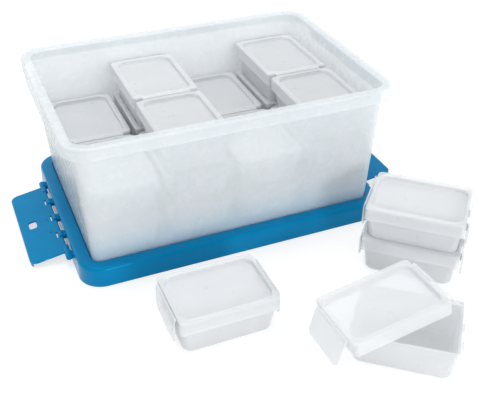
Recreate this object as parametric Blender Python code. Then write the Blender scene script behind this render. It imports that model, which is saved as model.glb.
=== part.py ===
"""Freezer box for breast milk, with its clip-top containers, as it stands in use.

A clear tub stands in the raised frame of its own blue lid. The lid carries a hinged latch at
each end. The tub holds two rows of four columns of small clip-top containers, and four more
containers stand in front of it: one closed, two stacked and one open with its cap laid askew.
Lengths are in metres, angles in degrees, and Z is up from the floor.
"""

import math

import bmesh
import bpy
from mathutils import Matrix, Vector

# Shared clearances
GAP = 0.0003
RUN = 0.0003

# Tray of a container
TRAY_LENGTH = 0.0830
TRAY_WIDTH = 0.0564
TRAY_HEIGHT = 0.0354
TRAY_CORNER = 0.0088
TRAY_RIM_CORNER = 0.0025
TRAY_END_LEAN = 0.0018
TRAY_SIDE_LEAN = 0.0037
TRAY_WALL = 0.0011
TRAY_FOOT = 0.0016
TRAY_MOUTH_STEP = 0.0012
TRAY_MOUTH_DEPTH = 0.0034
LUG_WIDTH = 0.0090
LUG_HEIGHT = 0.0030
LUG_REACH = 0.0029
LUG_SPACING = 0.0230

# Cap of a container
CAP_WALL = 0.0011
CAP_RIM = 0.0037
CAP_SINK = 0.0021
CAP_EDGE = 0.0008
CAP_SKIRT = 0.0133
NEST_CLEARANCE = 0.0004
FLAP_WIDTH = 0.0506
FLAP_DROP = 0.0274
FLAP_WALL = 0.0012
FLAP_STANDOFF = 0.0003
FLAP_SLOPE = 0.0008
FLAP_SHOULDER = 0.0045
FLAP_CORNER = 0.0060
FLAP_HINGE_CLEARANCE = 0.0003

# Containers inside the tub
COLUMNS = 4
LEVELS = (2, 3, 2, 3)
SIDE_CLEARANCE = 0.0010
COLUMN_CLEARANCE = 0.0044
END_CLEARANCE = 0.0006
ROW_CLEARANCE = 0.0006

# Tub
TUB_HEIGHT = 0.1335
TUB_CORNER = 0.0090
TUB_LEAN = 0.0074
TUB_WALL = 0.0022
TUB_FLOOR = 0.0022
TUB_FOOT = 0.0020
RIM_REACH = 0.0080
RIM_DROP = 0.0125
RIM_WALL = 0.0020
END_LIP_WIDTH = 0.1500
END_LIP_DROP = 0.0200
END_LIP_PROUD = 0.0004
END_LIP_CORNER = 0.0100

# Lid
LID_HEIGHT = 0.0210
LID_FRAME = 0.0136
LID_EDGE = 0.0030
LID_WALL = 0.0022
LID_RECESS = 0.0040
LID_SEAT_CLEARANCE = 0.0009
LID_SPREAD = 0.0006
LID_CORNER = 0.0230

# Latches and their hinges
PIN_RADIUS = 0.0015
PIN_HEIGHT = 0.0105
PIN_STANDOFF = 0.0035
KNUCKLE_RADIUS = 0.0032
KNUCKLE_WIDTH = 0.0090
KNUCKLE_SPACING = 0.0310
EAR_WIDTH = 0.0090
LATCH_WIDTH = 0.1230
LATCH_REACH = 0.0368
LATCH_WALL = 0.0022
LATCH_OFFSET = 0.0004
LATCH_BLOCK = 0.0100
LATCH_BLOCK_RADIUS = 0.0029
LATCH_NOTCH = 0.0042
LATCH_CORNER = 0.0080
HOOK_DROP = 0.0036
HOOK_WALL = 0.0024
SLOT_REACH = 0.0080
SLOT_WIDTH = 0.0130
SLOT_PLACE = 0.0232
RIGHT_LATCH_RISE = 7.3

# Containers outside the tub. The shifts run to the right, and the gaps are in front of the lid
SINGLE_SHIFT = -0.0602
SINGLE_GAP = 0.0492
SINGLE_TURN = 0.0
PAIR_SHIFT = 0.1477
PAIR_GAP = 0.0173
PAIR_TURN = -41.9
OPEN_SHIFT = 0.0144
OPEN_GAP = 0.0544
OPEN_TURN = -38.7
LOOSE_CAP_SHIFT = -0.0211
LOOSE_CAP_BACK = 0.0123
LOOSE_CAP_RISE = 0.0165
LOOSE_CAP_TURN = 1.0
LOOSE_CAP_PITCH = -9.5
LOOSE_CAP_ROLL = -4.8
LEFT_FLAP_SPLAY = 27.0
RIGHT_FLAP_SPLAY = 31.0

# Facets of round corners and pins
SMALL_STEPS = 2
LARGE_STEPS = 3
PIN_SIDES = 12

# Sizes that follow from the ones above
MOUTH_BASE = TRAY_HEIGHT - TRAY_MOUTH_DEPTH
MOUTH_END = TRAY_END_LEAN + TRAY_MOUTH_STEP
MOUTH_SIDE = TRAY_SIDE_LEAN + TRAY_MOUTH_STEP
RIM_HALF = TRAY_LENGTH / 2 + MOUTH_END
CAP_UNDERSIDE = TRAY_HEIGHT + GAP
CAP_TOP = CAP_UNDERSIDE + CAP_RIM
CAP_FLOOR = CAP_UNDERSIDE + CAP_WALL - CAP_SINK
CAP_HALF_LENGTH = RIM_HALF + RUN + CAP_WALL
CAP_HALF_WIDTH = TRAY_WIDTH / 2 + MOUTH_SIDE + RUN + CAP_WALL
CAP_CORNER = TRAY_RIM_CORNER + RUN + CAP_WALL
SKIRT_BASE = CAP_TOP - CAP_SKIRT
LUG_TOP = SKIRT_BASE - GAP
FLAP_INSIDE = RIM_HALF + LUG_REACH + FLAP_STANDOFF
FLAP_OUTSIDE = FLAP_INSIDE + FLAP_WALL
FLAP_HINGE_X = CAP_HALF_LENGTH + FLAP_HINGE_CLEARANCE + FLAP_WALL * 0.7
FLAP_HINGE_Z = CAP_TOP - CAP_EDGE - FLAP_WALL / 2
FLAP_EDGE = CAP_TOP - FLAP_DROP
STACK_PITCH = CAP_FLOOR + GAP

# The tub takes its size from the containers that it holds
COLUMN_PITCH = 2 * CAP_HALF_WIDTH + COLUMN_CLEARANCE
ROW_MIDDLE = FLAP_OUTSIDE + ROW_CLEARANCE / 2
STANDING = TUB_FLOOR + GAP
LEAN_AT_FLAPS = TUB_LEAN * (GAP + FLAP_EDGE) / (TUB_HEIGHT - TUB_FLOOR)
INNER_HALF_LENGTH = (COLUMNS - 1) * COLUMN_PITCH / 2 + CAP_HALF_WIDTH + SIDE_CLEARANCE
INNER_HALF_WIDTH = ROW_MIDDLE + FLAP_OUTSIDE + END_CLEARANCE - LEAN_AT_FLAPS
TUB_LENGTH = 2 * (INNER_HALF_LENGTH + TUB_WALL)
TUB_WIDTH = 2 * (INNER_HALF_WIDTH + TUB_WALL)

# The lid takes its size from the tub, and the latches theirs from the lid
TUB_SEAT = LID_HEIGHT - LID_RECESS + GAP
LID_HALF_LENGTH = TUB_LENGTH / 2 + LID_FRAME
LID_HALF_WIDTH = TUB_WIDTH / 2 + LID_FRAME
PIN_X = LID_HALF_LENGTH + LID_SPREAD + PIN_STANDOFF
HOOK_DEPTH = HOOK_DROP + LATCH_OFFSET
LATCH_DROOP = math.degrees(
    math.asin((PIN_HEIGHT - GAP) / math.hypot(LATCH_REACH, HOOK_DEPTH))
    - math.atan2(HOOK_DEPTH, LATCH_REACH)
)


def reach_ahead(half_length, half_width, corner, turn):
    """How far a rounded box that is turned about Z reaches in front of its own centre."""
    sine = abs(math.sin(math.radians(turn)))
    cosine = abs(math.cos(math.radians(turn)))
    return (half_length - corner) * sine + (half_width - corner) * cosine + corner


# Places of the loose containers, measured from the middle of the tub
LID_FRONT = LID_HALF_WIDTH + LID_SPREAD
SINGLE_PLACE = (SINGLE_SHIFT, -LID_FRONT - SINGLE_GAP - CAP_HALF_WIDTH)
PAIR_BACK = reach_ahead(FLAP_OUTSIDE, CAP_HALF_WIDTH, 0.0, PAIR_TURN)
PAIR_PLACE = (PAIR_SHIFT, -LID_FRONT - PAIR_GAP - PAIR_BACK)
PAIR_SINE = math.sin(math.radians(PAIR_TURN))
PAIR_COSINE = math.cos(math.radians(PAIR_TURN))
OPEN_STEP = 2 * CAP_HALF_WIDTH + OPEN_GAP
OPEN_PLACE = (
    PAIR_PLACE[0] + OPEN_SHIFT * PAIR_COSINE + OPEN_STEP * PAIR_SINE,
    PAIR_PLACE[1] + OPEN_SHIFT * PAIR_SINE - OPEN_STEP * PAIR_COSINE,
)
LOOSE_CAP_PLACE = (
    OPEN_PLACE[0] + LOOSE_CAP_SHIFT,
    OPEN_PLACE[1] + LOOSE_CAP_BACK,
    TRAY_HEIGHT + LOOSE_CAP_RISE,
)

# The origin lies under the middle of the whole arrangement
BACK_REACH = TUB_WIDTH / 2 + TUB_LEAN + RIM_REACH
FRONT_REACH = -OPEN_PLACE[1] + reach_ahead(
    RIM_HALF, TRAY_WIDTH / 2 + MOUTH_SIDE, TRAY_RIM_CORNER, OPEN_TURN
)
TUB_SETBACK = (FRONT_REACH - BACK_REACH) / 2


def clear_scene():
    for item in list(bpy.data.objects):
        bpy.data.objects.remove(item, do_unlink=True)
    for group in list(bpy.data.collections):
        bpy.data.collections.remove(group)


def new_collection(name):
    group = bpy.data.collections.new(name)
    bpy.context.scene.collection.children.link(group)
    return group


def plastic(name, colour, roughness, alpha=1.0):
    """A Principled material for one moulded plastic."""
    material = bpy.data.materials.new(name)
    material.use_nodes = True
    shader = material.node_tree.nodes["Principled BSDF"]
    shader.inputs["Base Color"].default_value = (*colour, 1.0)
    shader.inputs["Roughness"].default_value = roughness
    shader.inputs["Metallic"].default_value = 0.0
    shader.inputs["Alpha"].default_value = alpha
    return material


def rounded_outline(length, width, corner, steps):
    """Points of a rounded rectangle about the origin, anticlockwise from above."""
    points = []
    centres = ((1, 1), (-1, 1), (-1, -1), (1, -1))
    for quarter, (side_x, side_y) in enumerate(centres):
        centre_x = side_x * (length / 2 - corner)
        centre_y = side_y * (width / 2 - corner)
        for step in range(steps + 1):
            angle = math.radians(90) * (quarter + step / steps)
            x = centre_x + corner * math.cos(angle)
            y = centre_y + corner * math.sin(angle)
            points.append((x, y))
    return points


def even(corner, levels):
    """Levels for a loft whose outline grows by the same amount on all four sides."""
    return [(grow, grow, corner + grow, height) for grow, height in levels]


def loft(name, length, width, levels, steps):
    """A closed body through rounded rectangles.

    Each level says how far the outline has grown at both ends and at both sides, its corner
    radius and its height. The first and the last level are closed by a flat face.
    """
    mesh = bpy.data.meshes.new(name)
    shape = bmesh.new()
    loops = []
    for at_ends, at_sides, corner, height in levels:
        outline = rounded_outline(length + 2 * at_ends, width + 2 * at_sides, corner, steps)
        loops.append([shape.verts.new((x, y, height)) for x, y in outline])
    for lower, upper in zip(loops, loops[1:]):
        for index in range(len(lower)):
            after = (index + 1) % len(lower)
            shape.faces.new((lower[index], lower[after], upper[after], upper[index]))
    shape.faces.new(loops[0])
    shape.faces.new(loops[-1])
    bmesh.ops.recalc_face_normals(shape, faces=shape.faces[:])
    shape.to_mesh(mesh)
    shape.free()
    return mesh


def block(low, high):
    """A box mesh between two corners."""
    mesh = bpy.data.meshes.new("block")
    shape = bmesh.new()
    bmesh.ops.create_cube(shape, size=1.0)
    size = Vector(high) - Vector(low)
    middle = (Vector(high) + Vector(low)) / 2
    bmesh.ops.scale(shape, vec=size, verts=shape.verts[:])
    bmesh.ops.translate(shape, vec=middle, verts=shape.verts[:])
    shape.to_mesh(mesh)
    shape.free()
    return mesh


def rod(radius, low_y, high_y, x, z, sides=PIN_SIDES):
    """A cylinder mesh along Y."""
    mesh = bpy.data.meshes.new("rod")
    shape = bmesh.new()
    bmesh.ops.create_cone(
        shape,
        cap_ends=True,
        segments=sides,
        radius1=radius,
        radius2=radius,
        depth=high_y - low_y,
    )
    turn = Matrix.Rotation(math.radians(90), 4, "X")
    place = Matrix.Translation((x, (low_y + high_y) / 2, z))
    bmesh.ops.transform(shape, matrix=place @ turn, verts=shape.verts[:])
    shape.to_mesh(mesh)
    shape.free()
    return mesh


def prism(points, low, high, axis, corner=0.0, corner_points=()):
    """A flat outline pushed along Y or Z, with the corners named by index rounded."""
    mesh = bpy.data.meshes.new("prism")
    shape = bmesh.new()
    if axis == "Y":
        verts = [shape.verts.new((u, low, v)) for u, v in points]
        push = Vector((0, high - low, 0))
    else:
        verts = [shape.verts.new((u, v, low)) for u, v in points]
        push = Vector((0, 0, high - low))
    face = shape.faces.new(verts)
    raised = bmesh.ops.extrude_face_region(shape, geom=[face])
    moved = [item for item in raised["geom"] if isinstance(item, bmesh.types.BMVert)]
    bmesh.ops.translate(shape, vec=push, verts=moved)
    if corner_points:
        spots = [points[index] for index in corner_points]
        rounded = []
        for edge in shape.edges:
            first, second = (vert.co for vert in edge.verts)
            along = (second - first).normalized()
            if abs(along.dot(push.normalized())) < 0.99:
                continue
            spot = (first.x, first.z) if axis == "Y" else (first.x, first.y)
            if any(math.dist(spot, other) < GAP / 10 for other in spots):
                rounded.append(edge)
        bmesh.ops.bevel(
            shape,
            geom=rounded,
            offset=corner,
            segments=SMALL_STEPS,
            profile=0.5,
            affect="EDGES",
            clamp_overlap=False,
        )
    bmesh.ops.recalc_face_normals(shape, faces=shape.faces[:])
    shape.to_mesh(mesh)
    shape.free()
    return mesh


def mirrored(mesh):
    """A copy of a mesh on the other side of the YZ plane, still facing out."""
    copy = mesh.copy()
    copy.transform(Matrix.Diagonal((-1, 1, 1, 1)))
    copy.flip_normals()
    return copy


def moved(mesh, offset):
    copy = mesh.copy()
    copy.transform(Matrix.Translation(offset))
    return copy


def combine(name, body, added=(), cut=()):
    """The body with some meshes joined on and others cut away, as one plain mesh."""
    target = bpy.data.objects.new(name, body)
    cutters.objects.link(target)
    helpers = []
    for operation, meshes in (("UNION", added), ("DIFFERENCE", cut)):
        for mesh in meshes:
            helper = bpy.data.objects.new(name + "_tool", mesh)
            helper.hide_render = True
            helper.display_type = "WIRE"
            cutters.objects.link(helper)
            boolean = target.modifiers.new(operation.lower(), "BOOLEAN")
            boolean.operation = operation
            boolean.solver = "EXACT"
            boolean.object = helper
            helpers.append(helper)
    graph = bpy.context.evaluated_depsgraph_get()
    result = bpy.data.meshes.new_from_object(target.evaluated_get(graph))
    result.name = name
    for item in [target, *helpers]:
        bpy.data.objects.remove(item, do_unlink=True)
    return result


def tray_mesh():
    """An open tray with leaning walls, a widened mouth and two lugs on each end."""
    end, side = TRAY_END_LEAN, TRAY_SIDE_LEAN
    wall = TRAY_WALL
    rim = TRAY_RIM_CORNER
    shoulder = MOUTH_BASE + TRAY_MOUTH_STEP
    sole = -wall - TRAY_FOOT / 2
    levels = (
        (-TRAY_FOOT, -TRAY_FOOT, TRAY_CORNER - TRAY_FOOT, 0.0),
        (0.0, 0.0, TRAY_CORNER, TRAY_FOOT),
        (end, side, rim, MOUTH_BASE),
        (MOUTH_END, MOUTH_SIDE, rim, shoulder),
        (MOUTH_END, MOUTH_SIDE, rim, TRAY_HEIGHT),
        (MOUTH_END - wall, MOUTH_SIDE - wall, rim - wall, TRAY_HEIGHT),
        (MOUTH_END - wall, MOUTH_SIDE - wall, rim - wall, shoulder),
        (end - wall, side - wall, rim - wall, MOUTH_BASE),
        (sole, sole, TRAY_CORNER + sole, wall),
    )
    body = loft("tray", TRAY_LENGTH, TRAY_WIDTH, levels, SMALL_STEPS)
    climbed = (LUG_TOP - LUG_HEIGHT - TRAY_FOOT) / (MOUTH_BASE - TRAY_FOOT)
    root = TRAY_LENGTH / 2 + TRAY_END_LEAN * climbed - TRAY_WALL / 2
    tip = RIM_HALF + LUG_REACH
    lugs = []
    for row in (-1, 1):
        middle = row * LUG_SPACING / 2
        low = (root, middle - LUG_WIDTH / 2, LUG_TOP - LUG_HEIGHT)
        high = (tip, middle + LUG_WIDTH / 2, LUG_TOP)
        lug = block(low, high)
        lugs.extend((lug, mirrored(lug)))
    return combine("tray", body, lugs)


def flap_mesh(root):
    """The clip flap on the right end of a cap, from its root out and down to its free edge."""
    shoulder = CAP_TOP - CAP_EDGE
    outer_drop = shoulder - FLAP_SHOULDER
    points = (
        (root, shoulder),
        (root, shoulder - FLAP_WALL),
        (FLAP_INSIDE - FLAP_SLOPE, shoulder - FLAP_WALL),
        (FLAP_INSIDE, outer_drop),
        (FLAP_INSIDE, FLAP_EDGE),
        (FLAP_OUTSIDE, FLAP_EDGE),
        (FLAP_OUTSIDE, outer_drop),
        (FLAP_OUTSIDE - FLAP_SLOPE, shoulder),
    )
    return round_free_edge(prism(points, -FLAP_WIDTH / 2, FLAP_WIDTH / 2, "Y"))


def round_free_edge(mesh):
    """Rounds the two lower corners of a flap."""
    shape = bmesh.new()
    shape.from_mesh(mesh)
    corners = []
    for edge in shape.edges:
        first, second = (vert.co for vert in edge.verts)
        at_edge = abs(first.z - FLAP_EDGE) + abs(second.z - FLAP_EDGE) < GAP
        across = abs(first.x - second.x) > FLAP_WALL / 2
        if at_edge and across:
            corners.append(edge)
    bmesh.ops.bevel(
        shape,
        geom=corners,
        offset=FLAP_CORNER,
        segments=SMALL_STEPS,
        profile=0.5,
        affect="EDGES",
    )
    rounded = bpy.data.meshes.new("flap")
    shape.to_mesh(rounded)
    shape.free()
    return rounded


def cap_mesh(with_flaps):
    """A snap cap: a rim, a sunken panel that the next tray nests in, and a skirt."""
    nest = NEST_CLEARANCE
    end = MOUTH_END + RUN + CAP_WALL
    side = MOUTH_SIDE + RUN + CAP_WALL
    bevel = CAP_EDGE
    plug = nest + CAP_WALL
    levels = (
        (nest, nest, TRAY_CORNER + nest, CAP_FLOOR),
        (nest + GAP, nest + GAP, TRAY_CORNER + nest + GAP, CAP_TOP),
        (end - bevel, side - bevel, CAP_CORNER - bevel, CAP_TOP),
        (end, side, CAP_CORNER, CAP_TOP - bevel),
        (end, side, CAP_CORNER, SKIRT_BASE),
        (end - CAP_WALL, side - CAP_WALL, CAP_CORNER - CAP_WALL, SKIRT_BASE),
        (end - CAP_WALL, side - CAP_WALL, CAP_CORNER - CAP_WALL, CAP_UNDERSIDE),
        (plug, plug, TRAY_CORNER + plug, CAP_UNDERSIDE),
        (plug, plug, TRAY_CORNER + plug, CAP_FLOOR - CAP_WALL),
    )
    body = loft("cap", TRAY_LENGTH, TRAY_WIDTH, levels, SMALL_STEPS)
    if not with_flaps:
        return body
    flap = flap_mesh(CAP_HALF_LENGTH - CAP_WALL / 2)
    return combine("cap_with_flaps", body, (flap, mirrored(flap)))


def hinged_flap_mesh():
    """A flap of its own, drawn about its hinge line."""
    flap = flap_mesh(FLAP_HINGE_X - FLAP_WALL / 2)
    return moved(flap, (-FLAP_HINGE_X, 0, -FLAP_HINGE_Z))


def tub_mesh():
    """The tub: leaning walls, a rim that turns out and down, and a deeper lip at each end."""
    rim = TUB_LEAN + RIM_REACH
    profile = (
        (-TUB_FOOT, 0.0),
        (0.0, TUB_FOOT),
        (TUB_LEAN, TUB_HEIGHT - RIM_WALL),
        (rim - RIM_WALL, TUB_HEIGHT - RIM_WALL),
        (rim - RIM_WALL, TUB_HEIGHT - RIM_DROP),
        (rim, TUB_HEIGHT - RIM_DROP),
        (rim, TUB_HEIGHT - RIM_WALL / 2),
        (rim - RIM_WALL / 2, TUB_HEIGHT),
        (TUB_LEAN - TUB_WALL, TUB_HEIGHT),
        (-TUB_WALL, TUB_FLOOR),
    )
    body = loft("tub", TUB_LENGTH, TUB_WIDTH, even(TUB_CORNER, profile), LARGE_STEPS)
    inner = TUB_LENGTH / 2 + rim - RIM_WALL
    outer = TUB_LENGTH / 2 + rim + END_LIP_PROUD
    half = END_LIP_WIDTH / 2
    top = TUB_HEIGHT - RIM_WALL
    low = TUB_HEIGHT - END_LIP_DROP
    outline = (
        (-half, top),
        (-half, low + END_LIP_CORNER),
        (-half + END_LIP_CORNER, low),
        (half - END_LIP_CORNER, low),
        (half, low + END_LIP_CORNER),
        (half, top),
    )
    lip = prism(outline, inner, outer, "Y")
    lip.transform(Matrix(((0, 1, 0, 0), (1, 0, 0, 0), (0, 0, 1, 0), (0, 0, 0, 1))))
    lip.flip_normals()
    return combine("tub", body, (lip, mirrored(lip)))


def knuckle_places():
    """Where the lid's three middle knuckles stand along the hinge."""
    return [number * KNUCKLE_SPACING for number in (-1, 0, 1)]


def lid_mesh():
    """The lid: a recessed seat for the tub, a flat frame, a skirt, and the hinge knuckles."""
    seat = LID_HEIGHT - LID_RECESS
    profile = (
        (LID_SEAT_CLEARANCE, seat),
        (LID_SEAT_CLEARANCE, LID_HEIGHT),
        (LID_FRAME - LID_EDGE, LID_HEIGHT),
        (LID_FRAME - LID_EDGE * 0.3, LID_HEIGHT - LID_EDGE * 0.3),
        (LID_FRAME, LID_HEIGHT - LID_EDGE),
        (LID_FRAME + LID_SPREAD, 0.0),
        (LID_FRAME + LID_SPREAD - LID_WALL, 0.0),
        (LID_FRAME - LID_WALL, LID_HEIGHT - LID_WALL),
        (LID_SEAT_CLEARANCE + LID_WALL, LID_HEIGHT - LID_WALL),
        (LID_SEAT_CLEARANCE + LID_WALL, seat - LID_WALL),
    )
    levels = even(LID_CORNER - LID_FRAME, profile)
    body = loft("lid", TUB_LENGTH, TUB_WIDTH, levels, LARGE_STEPS)
    added = []
    ear_inside = LATCH_WIDTH / 2 + RUN
    spans = [(ear_inside, ear_inside + EAR_WIDTH), (-ear_inside - EAR_WIDTH, -ear_inside)]
    for place in knuckle_places():
        spans.append((place - KNUCKLE_WIDTH / 2, place + KNUCKLE_WIDTH / 2))
    root = LID_HALF_LENGTH - LID_WALL / 2
    arm = KNUCKLE_RADIUS * 0.7
    for low_y, high_y in spans:
        knuckle = rod(KNUCKLE_RADIUS, low_y, high_y, PIN_X, PIN_HEIGHT)
        web = block((root, low_y, PIN_HEIGHT - arm), (PIN_X, high_y, PIN_HEIGHT + arm))
        added.extend((knuckle, web))
    bore_reach = ear_inside + EAR_WIDTH * 0.7
    bore = rod(PIN_RADIUS + RUN, -bore_reach, bore_reach, PIN_X, PIN_HEIGHT)
    added.extend([mirrored(mesh) for mesh in added])
    return combine("box_lid", body, added, (bore, mirrored(bore)))


def latch_mesh():
    """A latch that points along +X from its hinge line, which runs along Y through the origin."""
    low = LATCH_OFFSET - LATCH_WALL
    top_face = LATCH_WALL - LATCH_OFFSET
    half = LATCH_WIDTH / 2
    outline = (
        (LATCH_NOTCH, -half),
        (LATCH_REACH, -half),
        (LATCH_REACH, half),
        (LATCH_NOTCH, half),
    )
    plate = prism(outline, -LATCH_OFFSET, top_face, "Z", LATCH_CORNER, (1, 2))
    pin_half = half + RUN + EAR_WIDTH * 0.6
    added = [rod(PIN_RADIUS, -pin_half, pin_half, 0, 0)]
    free_ends = [half]
    for place in sorted(knuckle_places(), reverse=True):
        free_ends.append(place + KNUCKLE_WIDTH / 2 + RUN)
        free_ends.append(place - KNUCKLE_WIDTH / 2 - RUN)
    free_ends.append(-half)
    overlap = LATCH_NOTCH + LATCH_WALL
    for high_y, low_y in zip(free_ends[0::2], free_ends[1::2]):
        added.append(block((0, low_y, -LATCH_OFFSET), (overlap, high_y, top_face)))
    for side in (-1, 1):
        inner = side * (half - LATCH_BLOCK)
        ends = sorted((inner, side * half))
        added.append(rod(LATCH_BLOCK_RADIUS, ends[0], ends[1], 0, 0))
    hook_half = half - LATCH_CORNER
    hook_low = (LATCH_REACH - HOOK_WALL, -hook_half, -HOOK_DEPTH)
    added.append(block(hook_low, (LATCH_REACH, hook_half, low + LATCH_WALL)))
    slot_half = SLOT_WIDTH / 2
    slot_low = (SLOT_PLACE - SLOT_REACH / 2, -slot_half, -LATCH_WALL)
    slot_high = (SLOT_PLACE + SLOT_REACH / 2, slot_half, 2 * LATCH_WALL)
    return combine("latch", plate, added, (block(slot_low, slot_high),))


def place(name, mesh, material, parent, location=(0, 0, 0), rotation=(0, 0, 0)):
    """One named piece, at a place and turn given in its parent's frame."""
    piece = bpy.data.objects.new(name, mesh)
    if not mesh.materials:
        mesh.materials.append(material)
    parts.objects.link(piece)
    piece.parent = parent
    piece.location = location
    piece.rotation_euler = [math.radians(angle) for angle in rotation]
    return piece


def marker(name, parent=None, location=(0, 0, 0), rotation=(0, 0, 0)):
    """An empty that carries pieces."""
    empty = bpy.data.objects.new(name, None)
    parts.objects.link(empty)
    empty.parent = parent
    empty.location = location
    empty.rotation_euler = [math.radians(angle) for angle in rotation]
    return empty


def add_flaps(cap, tail, left_splay=0.0, right_splay=0.0):
    """Hangs the two hinged flaps on a cap. A splay swings a flap outwards and up."""
    right = (FLAP_HINGE_X, 0, FLAP_HINGE_Z)
    left = (-FLAP_HINGE_X, 0, FLAP_HINGE_Z)
    place("flap_right_" + tail, hinged_flap, clear_plastic, cap, right, (0, -right_splay, 0))
    place("flap_left_" + tail, hinged_flap, clear_plastic, cap, left, (0, -left_splay, 180))


def add_stack(carrier, location, tails, turn=0.0, flaps=False):
    """A stack of closed containers, each standing on the cap below it."""
    below = carrier
    step = location
    angle = turn
    for tail in tails:
        tray = place("tray_" + tail, tray_shape, clear_plastic, below, step, (0, 0, angle))
        shape = plain_cap if flaps else flapped_cap
        cap = place("cap_" + tail, shape, clear_plastic, tray)
        if flaps:
            add_flaps(cap, tail)
        below = cap
        step = (0, 0, STACK_PITCH)
        angle = 0.0


def add_contents(tub):
    """The rows and columns of stacks that stand in the tub, turned across it."""
    for row, side in (("front", -1), ("back", 1)):
        for column in range(COLUMNS):
            x = (column - (COLUMNS - 1) / 2) * COLUMN_PITCH
            where = (x, side * ROW_MIDDLE, STANDING)
            heights = ("low", "middle", "high")[: LEVELS[column]]
            tails = [f"{row}_{column + 1}_{height}" for height in heights]
            add_stack(tub, where, tails, 90.0)


def add_open_container(floor):
    """The open tray, with its cap laid askew over one side and its flaps loose."""
    station = marker("open_station", floor, (*OPEN_PLACE, 0.0), (0, 0, OPEN_TURN))
    tray = place("tray_open", tray_shape, clear_plastic, station)
    turn = (LOOSE_CAP_ROLL, LOOSE_CAP_PITCH, LOOSE_CAP_TURN)
    height = marker("loose_cap_station", floor, LOOSE_CAP_PLACE, turn)
    cap = place("cap_open", plain_cap, clear_plastic, height, (0, 0, -CAP_TOP))
    add_flaps(cap, "open", LEFT_FLAP_SPLAY, RIGHT_FLAP_SPLAY)
    return tray


def add_latches(lid):
    """The two latches, each turned about its own hinge line."""
    droop = (0, LATCH_DROOP, 0)
    rise = (0, -RIGHT_LATCH_RISE, 0)
    left_hinge = marker("left_hinge", lid, (-PIN_X, 0, PIN_HEIGHT), (0, 0, 180))
    right_hinge = marker("right_hinge", lid, (PIN_X, 0, PIN_HEIGHT))
    place("latch_left", latch_shape, blue_plastic, left_hinge, (0, 0, 0), droop)
    place("latch_right", latch_shape, blue_plastic, right_hinge, (0, 0, 0), rise)


clear_scene()
parts = new_collection("milk_storage_freezer_box")
cutters = new_collection("cutters")
clear_plastic = plastic("natural_polypropylene", (0.80, 0.84, 0.87), 0.35)
blue_plastic = plastic("blue_polypropylene", (0.0, 0.19, 0.46), 0.38)

tray_shape = tray_mesh()
plain_cap = cap_mesh(False)
flapped_cap = cap_mesh(True)
hinged_flap = hinged_flap_mesh()
latch_shape = latch_mesh()

floor_mark = marker("tub_station", None, (0, TUB_SETBACK, 0))
lid_piece = place("box_lid", lid_mesh(), blue_plastic, floor_mark)
add_latches(lid_piece)
tub_piece = place("tub", tub_mesh(), clear_plastic, lid_piece, (0, 0, TUB_SEAT))
add_contents(tub_piece)
add_stack(floor_mark, (*SINGLE_PLACE, 0.0), ["single"], SINGLE_TURN, flaps=True)
add_stack(floor_mark, (*PAIR_PLACE, 0.0), ["pair_low", "pair_high"], PAIR_TURN, flaps=True)
add_open_container(floor_mark)
bpy.context.view_layer.update()
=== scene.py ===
# %% [markdown]
# # A freezer box for milk, with its clip-top containers
#
# Five mouldings make this whole picture: a tub, its lid, a latch, a small tray and a small cap.
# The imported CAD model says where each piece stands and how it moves. This file makes the same
# pieces again with the soft edges that a mould gives them, and adds plastics, floor and light.

import math

import bmesh
import bpy
from mathutils import Euler, Matrix, Vector


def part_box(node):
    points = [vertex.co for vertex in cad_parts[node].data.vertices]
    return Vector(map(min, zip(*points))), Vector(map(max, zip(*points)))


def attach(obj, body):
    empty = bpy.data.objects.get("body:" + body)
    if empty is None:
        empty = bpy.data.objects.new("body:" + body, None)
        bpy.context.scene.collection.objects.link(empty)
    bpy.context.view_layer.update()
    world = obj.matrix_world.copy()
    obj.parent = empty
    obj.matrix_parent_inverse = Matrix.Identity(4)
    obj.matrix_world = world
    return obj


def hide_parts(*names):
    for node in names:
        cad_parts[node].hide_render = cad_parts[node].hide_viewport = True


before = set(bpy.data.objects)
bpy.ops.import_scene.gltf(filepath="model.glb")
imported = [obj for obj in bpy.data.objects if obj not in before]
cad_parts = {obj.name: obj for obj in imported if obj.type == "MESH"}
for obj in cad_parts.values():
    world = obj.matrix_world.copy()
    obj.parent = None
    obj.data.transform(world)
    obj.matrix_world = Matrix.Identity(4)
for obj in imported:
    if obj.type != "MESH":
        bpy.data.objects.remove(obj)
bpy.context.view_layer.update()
MM = 0.001
print("CAD nodes:", len(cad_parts))

# %% [markdown]
# ## Colours
#
# Colours are easiest to judge as screen values from 0 to 255, but shaders work in linear light.
# This short function turns one into the other, so each colour below can be read as a hex code.

# %% Colour helper


def linear(code):
    """A colour such as "0a84c1" as linear red, green, blue and a full alpha."""
    shares = [int(code[start : start + 2], 16) / 255 for start in (0, 2, 4)]
    values = [
        share / 12.92 if share <= 0.04045 else ((share + 0.055) / 1.055) ** 2.4
        for share in shares
    ]
    return (*values, 1.0)


print("the lid's blue in linear light:", [round(value, 3) for value in linear("0083b8")])

# %% [markdown]
# ## Node helper
#
# A material is a small graph. Most of the typing in a script goes into adding a node, setting
# its sockets and joining it on, so one helper does all three. A value that is a socket of
# another node is linked, and anything else is set as it is.

# %% Node helper


def add_node(tree, kind, settings=None, **sockets):
    """Adds a node, sets its properties, and sets or links its input sockets by name."""
    node = tree.nodes.new(kind)
    for name, value in (settings or {}).items():
        setattr(node, name, value)
    for name, value in sockets.items():
        socket = node.inputs[name.replace("_", " ")]
        if isinstance(value, bpy.types.NodeSocket):
            tree.links.new(value, socket)
        else:
            socket.default_value = value
    return node


trial = bpy.data.node_groups.new("trial", "ShaderNodeTree")
number = add_node(trial, "ShaderNodeValue")
add_node(trial, "ShaderNodeMath", {"operation": "SINE"}, Value=number.outputs["Value"])
print("the helper made", len(trial.nodes), "nodes and", len(trial.links), "link")
bpy.data.node_groups.remove(trial)

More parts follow.
